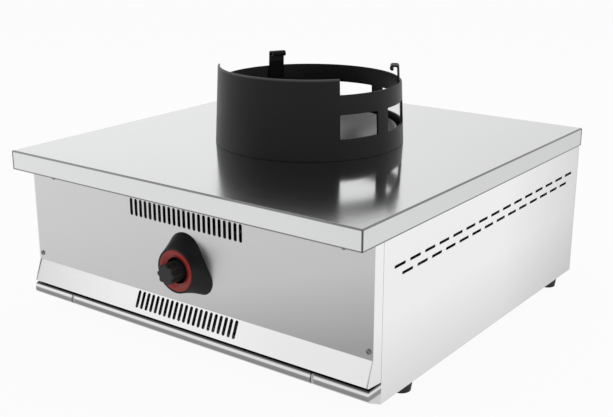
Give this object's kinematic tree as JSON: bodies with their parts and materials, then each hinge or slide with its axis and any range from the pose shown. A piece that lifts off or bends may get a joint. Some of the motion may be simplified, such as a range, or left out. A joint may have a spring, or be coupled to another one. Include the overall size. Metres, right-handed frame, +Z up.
{
  "type": "wok range",
  "caption": "Table-top gas wok range: polished steel worktop on a slotted casing, black windowed wok ring round a burner, one knob, and a drip tray that pulls out.",
  "frame": {"origin": "centre of the bounding box in plan, at the floor under the feet", "axes": "+X to the user's right, +Y to the back, away from the user, +Z up"},
  "size_m": [0.6, 0.6486, 0.364],
  "materials": {
    "polished_steel": "polished",
    "worktop_steel": "polished",
    "panel_steel": "smooth bright",
    "fascia_steel": "brushed along its length",
    "galvanised": "matt",
    "ring_black": "matt black",
    "bezel_black": "satin",
    "red_trim": "gloss",
    "grip_black": "satin",
    "foot_rubber": "matt",
    "cast_iron": "rough",
    "brass": "machined",
    "aluminium": "drawn tube",
    "screw_steel": "bright"
  },
  "bodies": {
    "casing": {"worktop": "worktop_steel", "front_stiffener": "galvanised", "rear_stiffener": "galvanised", "spill_bowl": "polished_steel", "left_side_panel": "panel_steel", "right_side_panel": "panel_steel", "back_panel": "galvanised", "base_panel": "galvanised", "front_fascia": "fascia_steel", "lower_vent_panel": "fascia_steel", "left_end_cap": "panel_steel", "right_end_cap": "panel_steel", "left_fascia_angle": "galvanised", "right_fascia_angle": "galvanised", "left_rail_stub": "fascia_steel", "right_rail_stub": "fascia_steel", "left_tray_guide": "galvanised", "right_tray_guide": "galvanised", "front_left_foot": "foot_rubber", "front_right_foot": "foot_rubber", "rear_left_foot": "foot_rubber", "rear_right_foot": "foot_rubber", "foot_screws": "screw_steel", "foot_nuts": "screw_steel", "knob_bezel": "bezel_black", "bezel_ring": "red_trim", "valve_body": "brass", "valve_bracket": "galvanised", "valve_screws": "screw_steel", "safety_magnet": "brass", "gas_inlet": "brass", "inlet_locknut": "brass", "supply_pipe": "aluminium", "feed_pipe": "aluminium", "pilot_pipe": "aluminium", "sensor_lead": "screw_steel", "pilot_burner": "brass", "heat_sensor": "screw_steel", "pilot_bracket": "galvanised", "pipe_nuts": "brass", "pipe_clips": "galvanised", "burner_bridge": "galvanised", "burner_body": "cast_iron", "injector": "brass", "injector_elbow": "brass", "fascia_screws": "screw_steel", "back_screws": "screw_steel"},
    "wok_ring": {"ring_base_hoop": "ring_black", "ring_uprights": "ring_black", "ring_top_hoop": "ring_black", "ring_front_shield": "ring_black", "ring_lugs": "ring_black"},
    "drip_tray": {"tray_front": "fascia_steel", "drip_tray_pan": "galvanised"},
    "crown": {"burner_crown": "cast_iron"},
    "valve_rotor": {"valve_plug": "brass"},
    "knob": {"knob_grip": "grip_black", "knob_hub": "grip_black", "valve_spindle": "brass"},
    "shutter": {"air_shutter": "galvanised"}
  },
  "joints": [
    {"name": "ring_lift", "type": "slide", "parent": "casing", "child": "wok_ring", "axis": [0, 0, 1], "range_m": [0, 0.15]},
    {"name": "tray_slide", "type": "slide", "parent": "casing", "child": "drip_tray", "axis": [0, -1, 0], "range_m": [0, 0.42]},
    {"name": "crown_lift", "type": "slide", "parent": "casing", "child": "crown", "axis": [0, 0, 1], "range_m": [0, 0.15]},
    {"name": "knob_turn", "type": "hinge", "parent": "casing", "child": "valve_rotor", "pos_m": [0, -0.26175, 0.1295], "axis": [0, -1, 0], "range_deg": [0, 180]},
    {"name": "knob_push", "type": "slide", "parent": "valve_rotor", "child": "knob", "axis": [0, 1, 0], "range_m": [0, 0.004], "stiffness_N_per_m": 800, "springref_m": -0.003},
    {"name": "shutter_turn", "type": "hinge", "parent": "casing", "child": "shutter", "pos_m": [0, -0.00775, 0.11], "axis": [0, 0, 1], "range_deg": [0, 60]}
  ]
}
